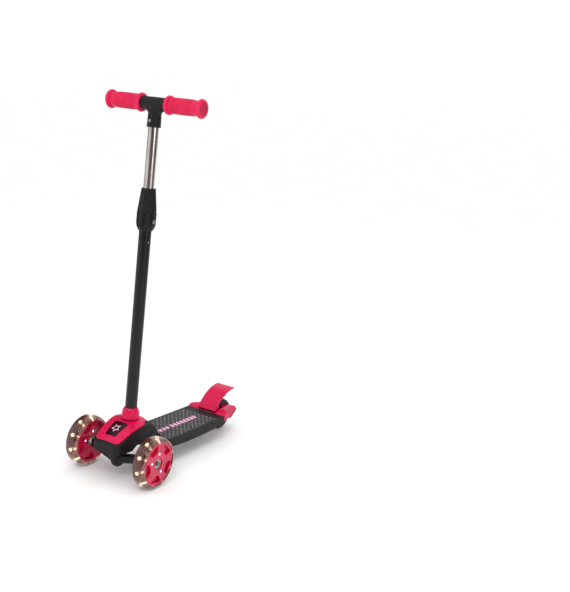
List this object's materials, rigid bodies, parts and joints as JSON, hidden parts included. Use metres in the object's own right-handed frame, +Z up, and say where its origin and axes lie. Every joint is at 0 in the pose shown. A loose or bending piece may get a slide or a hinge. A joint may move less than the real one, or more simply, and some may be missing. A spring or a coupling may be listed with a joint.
{
  "type": "kick scooter",
  "caption": "Child's lean-to-steer kick scooter with light-up front wheels, a height-adjustable handlebar, a low foot deck and a rear foot brake.",
  "frame": {"origin": "on the ground, at the centre of the whole scooter's bounding box seen from above", "axes": "+Z up, the rider faces -Y, +X is the rider's left"},
  "size_m": [0.26, 0.501, 0.8754],
  "materials": {
    "pink_plastic": "moulded hot pink, soft gloss",
    "pink_rim": "moulded pink wheel core, gloss",
    "pink_grip": "soft pink grip rubber, fine ribs",
    "red_plug": "darker red plug",
    "pink_print": "raised light pink emblem",
    "plum_plastic": "dark plum panel",
    "black_plastic": "fine-textured black moulding",
    "black_steel": "satin black powder coat",
    "bright_tube": "polished tube",
    "zinc_steel": "zinc plated",
    "spring_steel": "spring wire",
    "bearing_steel": "ground ring and shield",
    "nylon": "natural nylon",
    "urethane": "firm urethane",
    "clear_tyre": "smoky translucent urethane",
    "black_tyre": "black urethane",
    "lamp": "light-emitting capsule"
  },
  "bodies": {
    "deck": {"deck": "black_plastic", "nose_cover": "pink_plastic", "badge_panel": "plum_plastic", "badge_emblem": "pink_print", "stem_collar": "pink_plastic", "stem_bolt": "zinc_steel", "lower_tube": "black_steel", "height_collar": "black_plastic", "tube_collet": "nylon", "kingpin_bolt": "zinc_steel", "kingpin_nut": "zinc_steel", "kingpin_washers": "zinc_steel", "steering_bushing": "urethane", "rear_fork": "black_plastic", "rear_cover": "pink_plastic", "fork_screws": "zinc_steel", "rear_axle_bolt": "zinc_steel", "rear_axle_nut": "zinc_steel", "rear_axle_spacers": "nylon", "brake_pin": "zinc_steel", "brake_spring": "spring_steel"},
    "truck": {"truck": "black_plastic", "front_axle_bolts": "zinc_steel", "front_axle_spacers": "nylon"},
    "front_wheel_left": {"front_tyre_left": "clear_tyre", "front_rim_left": "pink_rim", "tread_leds_left": "lamp", "hub_leds_left": "lamp", "front_bearings_left": "bearing_steel", "front_hub_sleeve_left": "zinc_steel"},
    "front_wheel_right": {"front_tyre_right": "clear_tyre", "front_rim_right": "pink_rim", "tread_leds_right": "lamp", "hub_leds_right": "lamp", "front_bearings_right": "bearing_steel", "front_hub_sleeve_right": "zinc_steel"},
    "rear_wheel": {"rear_tyre": "black_tyre", "rear_rim": "pink_rim", "rear_bearings": "bearing_steel", "rear_hub_sleeve": "zinc_steel"},
    "handlebar": {"upper_tube": "bright_tube", "tube_foot": "nylon", "handlebar_tee": "black_plastic", "handlebar_tube": "zinc_steel", "grip_left": "pink_grip", "grip_right": "pink_grip", "end_plug_left": "red_plug", "end_plug_right": "red_plug"},
    "height_nut": {"height_nut": "black_plastic"},
    "height_button": {"height_button": "zinc_steel"},
    "tee_button": {"tee_button": "zinc_steel"},
    "brake": {"brake_fender": "pink_plastic", "brake_pad": "zinc_steel"}
  },
  "joints": [
    {"name": "lean_steer", "type": "hinge", "parent": "deck", "child": "truck", "pos_m": [0, -0.1915, 0.028], "axis": [0, -0.4226, 0.9063], "range_deg": [-12, 12], "stiffness_Nm_per_rad": 50},
    {"name": "front_wheel_left_spin", "type": "hinge", "parent": "truck", "child": "front_wheel_left", "pos_m": [0.1, -0.1905, 0.06], "axis": [1, 0, 0], "continuous": true},
    {"name": "front_wheel_right_spin", "type": "hinge", "parent": "truck", "child": "front_wheel_right", "pos_m": [-0.1, -0.1905, 0.06], "axis": [1, 0, 0], "continuous": true},
    {"name": "rear_wheel_spin", "type": "hinge", "parent": "deck", "child": "rear_wheel", "pos_m": [0, 0.2095, 0.041], "axis": [1, 0, 0], "continuous": true},
    {"name": "handlebar_height", "type": "slide", "parent": "deck", "child": "handlebar", "axis": [0, 0.0523, 0.9986], "range_m": [-0.048, 0]},
    {"name": "height_nut_turn", "type": "hinge", "parent": "deck", "child": "height_nut", "pos_m": [0, -0.13098, 0.63754], "axis": [0, 0.0523, 0.9986], "range_deg": [0, 180]},
    {"name": "height_button_press", "type": "slide", "parent": "deck", "child": "height_button", "axis": [-1, 0, 0], "range_m": [0, 0.003], "stiffness_N_per_m": 900},
    {"name": "tee_button_press", "type": "slide", "parent": "handlebar", "child": "tee_button", "axis": [0, 0.9986, -0.0523], "range_m": [0, 0.003], "stiffness_N_per_m": 900},
    {"name": "brake_press", "type": "hinge", "parent": "deck", "child": "brake", "pos_m": [0, 0.1655, 0.0635], "axis": [-1, 0, 0], "range_deg": [0, 7.2], "stiffness_Nm_per_rad": 4}
  ]
}
